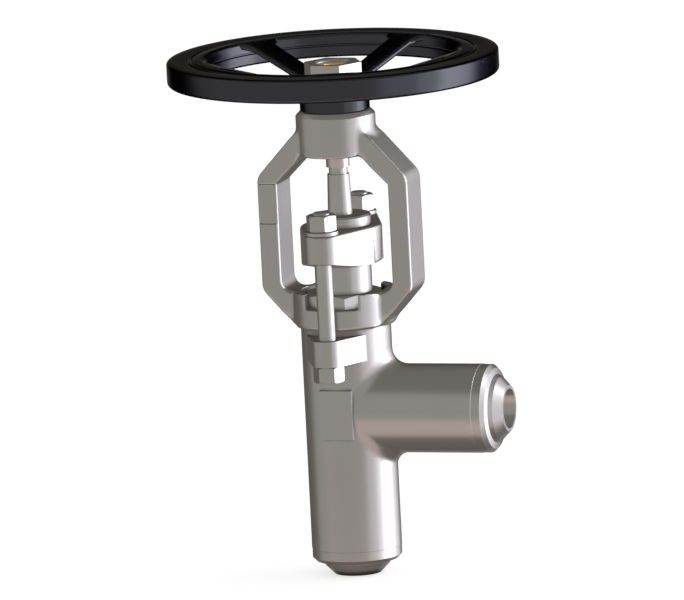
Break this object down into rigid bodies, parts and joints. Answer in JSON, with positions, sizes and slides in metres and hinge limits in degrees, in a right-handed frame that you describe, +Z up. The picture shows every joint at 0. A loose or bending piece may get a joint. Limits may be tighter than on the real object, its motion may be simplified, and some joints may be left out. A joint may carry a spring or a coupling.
{
  "type": "continuous blowdown valve",
  "caption": "Angle-pattern continuous blowdown valve with butt-weld ends, outside screw and yoke, bolted gland, throttling plug and a spoked handwheel.",
  "frame": {"origin": "centre of the inlet weld end's face, at the bottom of the valve", "axes": "+Z up the stem, +X out along the outlet leg, -Y is the front with the name-plate flat"},
  "size_m": [0.295, 0.294, 0.4659],
  "materials": {
    "forged_steel": "satin, fine-blasted forging",
    "machined_steel": "fine turned",
    "stainless_steel": "ground and polished",
    "fasteners": "bright, machined",
    "bearing_steel": "ground",
    "black_wheel": "smooth black enamel on cast iron",
    "bronze": "machined bronze",
    "graphite": "pressed graphite"
  },
  "bodies": {
    "valve": {"valve_body": "forged_steel", "seat_ring": "stainless_steel", "bonnet": "machined_steel", "bonnet_gasket": "graphite", "packing_base_ring": "stainless_steel", "packing_rings": "graphite", "gland_studs": "fasteners", "stud_lower_nuts": "fasteners", "yoke": "forged_steel", "stem_guide_key": "fasteners", "yoke_lock_screw": "fasteners", "lower_thrust_bearing": "bearing_steel", "upper_thrust_bearing": "bearing_steel", "bearing_ring_nut": "machined_steel"},
    "gland": {"gland_flange": "forged_steel", "gland_bush": "stainless_steel", "gland_washers": "fasteners", "gland_nuts": "fasteners"},
    "wheel": {"handwheel": "black_wheel", "stem_nut": "bronze", "wheel_key": "fasteners", "wheel_washer": "fasteners", "wheel_nut": "fasteners"},
    "spindle": {"stem": "stainless_steel", "plug": "stainless_steel", "plug_pin": "fasteners"}
  },
  "joints": [
    {"name": "handwheel_turn", "type": "hinge", "parent": "valve", "child": "wheel", "pos_m": [0, 0, 0.43], "axis": [0, 0, 1], "range_deg": [0, 1440]},
    {"name": "stem_lift", "type": "slide", "parent": "valve", "child": "spindle", "axis": [0, 0, 1], "range_m": [0, 0.016]},
    {"name": "gland_adjust", "type": "slide", "parent": "valve", "child": "gland", "axis": [0, 0, 1], "range_m": [-0.003, 0], "deforming": ["packing_rings"]}
  ],
  "couplings": [
    {"joint": "stem_lift", "follows": "handwheel_turn", "m_per_rad": 0.00063661}
  ]
}
